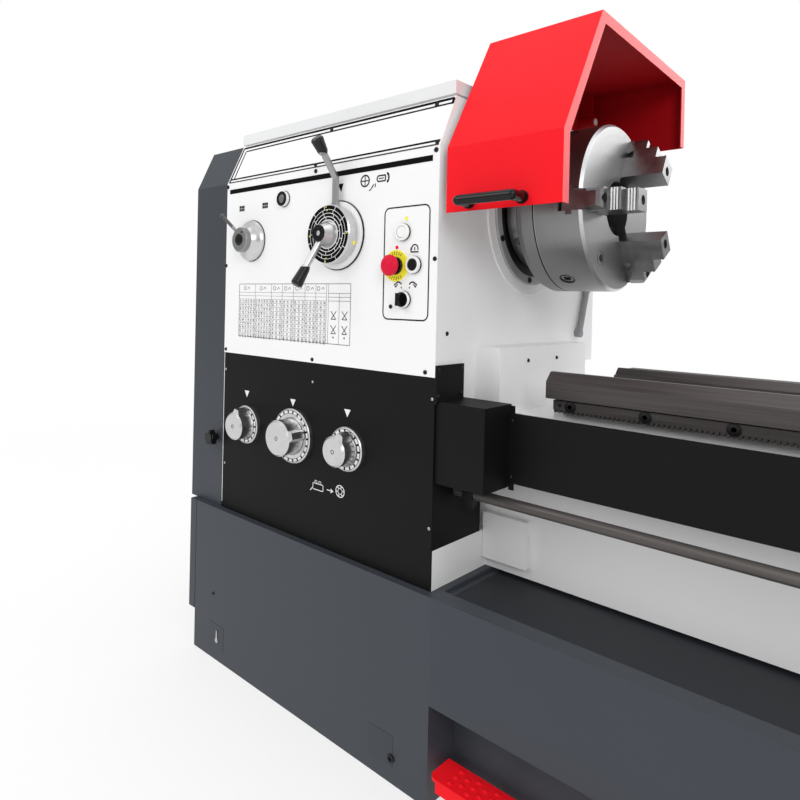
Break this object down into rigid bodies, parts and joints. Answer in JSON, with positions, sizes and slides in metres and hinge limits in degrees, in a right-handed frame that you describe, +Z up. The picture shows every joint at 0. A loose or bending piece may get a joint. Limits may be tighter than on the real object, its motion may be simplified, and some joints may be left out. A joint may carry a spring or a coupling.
{
  "type": "engine lathe",
  "caption": "Gap-bed engine lathe with geared headstock, guarded three-jaw chuck, saddle and compound, tailstock, chip tray and foot brake.",
  "frame": {"origin": "on the floor directly below the spindle axis, in the plane of the headstock wall that faces the chuck", "axes": "+X along the spindle axis towards the tailstock, +Z up, the operator stands at -Y"},
  "size_m": [4.576, 0.816, 1.3975],
  "materials": {
    "cabinet": "satin grey-blue paint",
    "white_paint": "satin white paint",
    "black_paint": "textured black paint",
    "red_paint": "gloss red paint",
    "ground_steel": "ground and lightly oiled",
    "machined": "machined steel",
    "chuck_steel": "fine turned steel",
    "satin_chrome": "satin chrome",
    "cast_metal": "machined cast iron",
    "rubber": "belt rubber",
    "black_plastic": "moulded plastic",
    "white_plastic": "moulded plastic",
    "red_plastic": "moulded plastic",
    "hose": "ribbed hose"
  },
  "bodies": {
    "machine": {"left_pedestal": "cabinet", "bed_supports": "cabinet", "chip_tray": "cabinet", "bed": "white_paint", "rack": "ground_steel", "headstock": "white_paint", "headstock_cover": "white_paint", "feed_gearbox": "black_paint", "gear_bracket": "cast_metal", "v_belts": "rubber", "bearing_cap": "white_paint", "leadscrew_cover": "black_paint", "conduit": "hose", "tail_bracket": "cabinet"},
    "end_door": {"end_cover": "cabinet"},
    "door_latch": {"latch_knob": "black_plastic"},
    "spindle_unit": {"spindle": "machined", "chuck_backplate": "chuck_steel", "chuck_body": "chuck_steel"},
    "jaw_a": {"jaw_1": "machined"},
    "jaw_b": {"jaw_2": "machined"},
    "jaw_c": {"jaw_3": "machined"},
    "input_pulley": {"drive_pulley": "cast_metal"},
    "motor_shaft": {"motor_pulley": "cast_metal"},
    "stud": {"stud_gear": "machined"},
    "idler": {"idler_gear": "machined"},
    "gearbox_input": {"screw_gear": "machined"},
    "guard": {"chuck_guard": "red_paint", "guard_handle": "black_plastic"},
    "range_control": {"range_lever": "satin_chrome"},
    "speed_control": {"speed_lever": "satin_chrome"},
    "direction_control": {"direction_knob": "satin_chrome"},
    "left_feed_control": {"feed_dial_left": "satin_chrome"},
    "middle_feed_control": {"feed_dial_middle": "satin_chrome"},
    "right_feed_control": {"feed_dial_right": "satin_chrome"},
    "stop_control": {"estop_button": "red_plastic"},
    "start_control": {"start_button": "white_plastic"},
    "jog_control": {"jog_button": "black_plastic"},
    "mode_control": {"mode_selector": "black_plastic"},
    "pedal": {"brake_pedal": "red_paint"},
    "long_screw": {"leadscrew": "ground_steel"},
    "long_feed_rod": {"feed_rod": "ground_steel"},
    "switch_rod": {"control_rod": "ground_steel"},
    "switch_lever": {"start_lever": "satin_chrome"},
    "carriage": {"saddle": "cabinet", "apron": "cabinet"},
    "wheel": {"carriage_handwheel": "satin_chrome"},
    "nut_control": {"half_nut_lever": "satin_chrome"},
    "feed_control": {"feed_lever": "satin_chrome"},
    "cross": {"cross_slide": "cabinet"},
    "cross_crank": {"cross_handle": "satin_chrome"},
    "swivel": {"compound_base": "cabinet"},
    "top_slide": {"compound_slide": "cabinet"},
    "top_crank": {"compound_handle": "satin_chrome"},
    "turret": {"tool_post": "cast_metal"},
    "turret_clamp": {"tool_post_lever": "satin_chrome"},
    "tail": {"tailstock": "white_paint"},
    "tail_quill": {"quill": "ground_steel"},
    "tail_wheel": {"tailstock_handwheel": "satin_chrome"},
    "tail_lock": {"quill_lock": "satin_chrome"}
  },
  "joints": [
    {"name": "spindle_spin", "type": "hinge", "parent": "machine", "child": "spindle_unit", "pos_m": [0, 0, 1.088], "axis": [1, 0, 0], "continuous": true},
    {"name": "jaw_a_slide", "type": "slide", "parent": "spindle_unit", "child": "jaw_a", "axis": [0, -1, 0], "range_m": [-0.006, 0.004]},
    {"name": "jaw_b_slide", "type": "slide", "parent": "spindle_unit", "child": "jaw_b", "axis": [0, 0.5, 0.866], "range_m": [-0.006, 0.004]},
    {"name": "jaw_c_slide", "type": "slide", "parent": "spindle_unit", "child": "jaw_c", "axis": [0, 0.5, -0.866], "range_m": [-0.006, 0.004]},
    {"name": "input_pulley_spin", "type": "hinge", "parent": "machine", "child": "input_pulley", "pos_m": [-0.7, 0.185, 0.905], "axis": [1, 0, 0], "continuous": true},
    {"name": "motor_spin", "type": "hinge", "parent": "machine", "child": "motor_shaft", "pos_m": [-0.7, 0.185, 0.195], "axis": [1, 0, 0], "continuous": true},
    {"name": "stud_spin", "type": "hinge", "parent": "machine", "child": "stud", "pos_m": [-0.66, -0.095, 0.86], "axis": [1, 0, 0], "continuous": true},
    {"name": "idler_spin", "type": "hinge", "parent": "machine", "child": "idler", "pos_m": [-0.66, -0.11439, 0.71126], "axis": [1, 0, 0], "continuous": true},
    {"name": "gearbox_input_spin", "type": "hinge", "parent": "machine", "child": "gearbox_input", "pos_m": [-0.66, -0.215, 0.6], "axis": [1, 0, 0], "continuous": true},
    {"name": "leadscrew_spin", "type": "hinge", "parent": "machine", "child": "long_screw", "pos_m": [1, -0.215, 0.665], "axis": [1, 0, 0], "continuous": true},
    {"name": "feed_rod_spin", "type": "hinge", "parent": "machine", "child": "long_feed_rod", "pos_m": [1, -0.215, 0.605], "axis": [1, 0, 0], "continuous": true},
    {"name": "end_door_hinge", "type": "hinge", "parent": "machine", "child": "end_door", "pos_m": [-0.644, 0.342, 0.9], "axis": [0, 0, 1], "range_deg": [-100, 0]},
    {"name": "door_latch_turn", "type": "hinge", "parent": "end_door", "child": "door_latch", "pos_m": [-0.669, -0.333, 0.5446], "axis": [0, 1, 0], "range_deg": [0, 90]},
    {"name": "guard_hinge", "type": "hinge", "parent": "machine", "child": "guard", "pos_m": [0, 0.19, 1.32], "axis": [1, 0, 0], "range_deg": [-95, 0]},
    {"name": "range_lever_turn", "type": "hinge", "parent": "machine", "child": "range_control", "pos_m": [-0.251, -0.333, 1.031], "axis": [0, 1, 0], "range_deg": [-45, 45]},
    {"name": "speed_lever_turn", "type": "hinge", "parent": "range_control", "child": "speed_control", "pos_m": [-0.251, -0.333, 1.031], "axis": [0, 1, 0], "range_deg": [-60, 60]},
    {"name": "direction_turn", "type": "hinge", "parent": "machine", "child": "direction_control", "pos_m": [-0.54, -0.333, 1.034], "axis": [0, 1, 0], "range_deg": [-45, 45]},
    {"name": "left_feed_turn", "type": "hinge", "parent": "machine", "child": "left_feed_control", "pos_m": [-0.539, -0.333, 0.596], "axis": [0, 1, 0], "continuous": true},
    {"name": "middle_feed_turn", "type": "hinge", "parent": "machine", "child": "middle_feed_control", "pos_m": [-0.374, -0.333, 0.596], "axis": [0, 1, 0], "continuous": true},
    {"name": "right_feed_turn", "type": "hinge", "parent": "machine", "child": "right_feed_control", "pos_m": [-0.209, -0.333, 0.596], "axis": [0, 1, 0], "continuous": true},
    {"name": "stop_press", "type": "slide", "parent": "machine", "child": "stop_control", "axis": [0, 1, 0], "range_m": [0, 0.005], "stiffness_N_per_m": 2500, "springref_m": -0.004},
    {"name": "start_press", "type": "slide", "parent": "machine", "child": "start_control", "axis": [0, 1, 0], "range_m": [0, 0.003], "stiffness_N_per_m": 2000, "springref_m": -0.002},
    {"name": "jog_press", "type": "slide", "parent": "machine", "child": "jog_control", "axis": [0, 1, 0], "range_m": [0, 0.003], "stiffness_N_per_m": 2000, "springref_m": -0.002},
    {"name": "mode_turn", "type": "hinge", "parent": "machine", "child": "mode_control", "pos_m": [-0.075, -0.333, 0.901], "axis": [0, 1, 0], "range_deg": [-45, 45]},
    {"name": "brake_press", "type": "hinge", "parent": "machine", "child": "pedal", "pos_m": [1, -0.29, 0.045], "axis": [1, 0, 0], "range_deg": [0, 12], "stiffness_Nm_per_rad": 60, "springref_deg": -17.19},
    {"name": "switch_rod_turn", "type": "hinge", "parent": "machine", "child": "switch_rod", "pos_m": [1, -0.258, 0.545], "axis": [1, 0, 0], "range_deg": [-20, 20]},
    {"name": "carriage_travel", "type": "slide", "parent": "machine", "child": "carriage", "axis": [1, 0, 0], "range_m": [-0.73, 0.85]},
    {"name": "switch_lever_turn", "type": "hinge", "parent": "carriage", "child": "switch_lever", "pos_m": [1.56, -0.258, 0.545], "axis": [1, 0, 0], "range_deg": [-20, 20]},
    {"name": "carriage_wheel_spin", "type": "hinge", "parent": "carriage", "child": "wheel", "pos_m": [1.14, -0.345, 0.64], "axis": [0, 1, 0], "continuous": true},
    {"name": "half_nut_turn", "type": "hinge", "parent": "carriage", "child": "nut_control", "pos_m": [1.46, -0.345, 0.64], "axis": [0, 1, 0], "range_deg": [-40, 0]},
    {"name": "feed_lever_turn", "type": "hinge", "parent": "carriage", "child": "feed_control", "pos_m": [1.32, -0.345, 0.6], "axis": [0, 1, 0], "range_deg": [-25, 25]},
    {"name": "cross_travel", "type": "slide", "parent": "carriage", "child": "cross", "axis": [0, 1, 0], "range_m": [-0.09, 0.27]},
    {"name": "cross_crank_spin", "type": "hinge", "parent": "carriage", "child": "cross_crank", "pos_m": [1.3, -0.345, 0.798], "axis": [0, 1, 0], "continuous": true},
    {"name": "compound_swivel", "type": "hinge", "parent": "cross", "child": "swivel", "pos_m": [1.28, -0.09, 0.9], "axis": [0, 0, 1], "range_deg": [-90, 90]},
    {"name": "compound_travel", "type": "slide", "parent": "swivel", "child": "top_slide", "axis": [1, 0, 0], "range_m": [-0.09, 0.06]},
    {"name": "compound_crank_spin", "type": "hinge", "parent": "top_slide", "child": "top_crank", "pos_m": [1.43, -0.09, 0.967], "axis": [1, 0, 0], "continuous": true},
    {"name": "tool_post_index", "type": "hinge", "parent": "top_slide", "child": "turret", "pos_m": [1.235, -0.09, 1.05], "axis": [0, 0, 1], "continuous": true},
    {"name": "tool_post_clamp", "type": "hinge", "parent": "top_slide", "child": "turret_clamp", "pos_m": [1.235, -0.09, 1.15], "axis": [0, 0, 1], "range_deg": [-60, 30]},
    {"name": "tailstock_travel", "type": "slide", "parent": "machine", "child": "tail", "axis": [1, 0, 0], "range_m": [-0.6, 0]},
    {"name": "tail_wheel_spin", "type": "hinge", "parent": "tail", "child": "tail_wheel", "pos_m": [3.685, 0, 1.088], "axis": [1, 0, 0], "range_deg": [0, 10800]},
    {"name": "quill_travel", "type": "slide", "parent": "tail", "child": "tail_quill", "axis": [1, 0, 0], "range_m": [-0.15, 0]},
    {"name": "quill_lock_turn", "type": "hinge", "parent": "tail", "child": "tail_lock", "pos_m": [3.345, 0, 1.16], "axis": [0, 0, 1], "range_deg": [-30, 60]}
  ],
  "couplings": [
    {"joint": "jaw_b_slide", "follows": "jaw_a_slide", "ratio": 1},
    {"joint": "jaw_c_slide", "follows": "jaw_a_slide", "ratio": 1},
    {"joint": "input_pulley_spin", "follows": "spindle_spin", "ratio": 1.5},
    {"joint": "motor_spin", "follows": "spindle_spin", "ratio": 2.625},
    {"joint": "stud_spin", "follows": "spindle_spin", "ratio": -1},
    {"joint": "idler_spin", "follows": "spindle_spin", "ratio": 0.66667},
    {"joint": "gearbox_input_spin", "follows": "spindle_spin", "ratio": -1},
    {"joint": "leadscrew_spin", "follows": "spindle_spin", "ratio": -0.25},
    {"joint": "feed_rod_spin", "follows": "spindle_spin", "ratio": -0.5},
    {"joint": "switch_lever_turn", "follows": "switch_rod_turn", "ratio": 1},
    {"joint": "carriage_wheel_spin", "follows": "carriage_travel", "rad_per_m": 78.54},
    {"joint": "cross_crank_spin", "follows": "cross_travel", "rad_per_m": -1256.6},
    {"joint": "compound_crank_spin", "follows": "compound_travel", "rad_per_m": 1570.8},
    {"joint": "quill_travel", "follows": "tail_wheel_spin", "m_per_rad": -0.00079577}
  ]
}
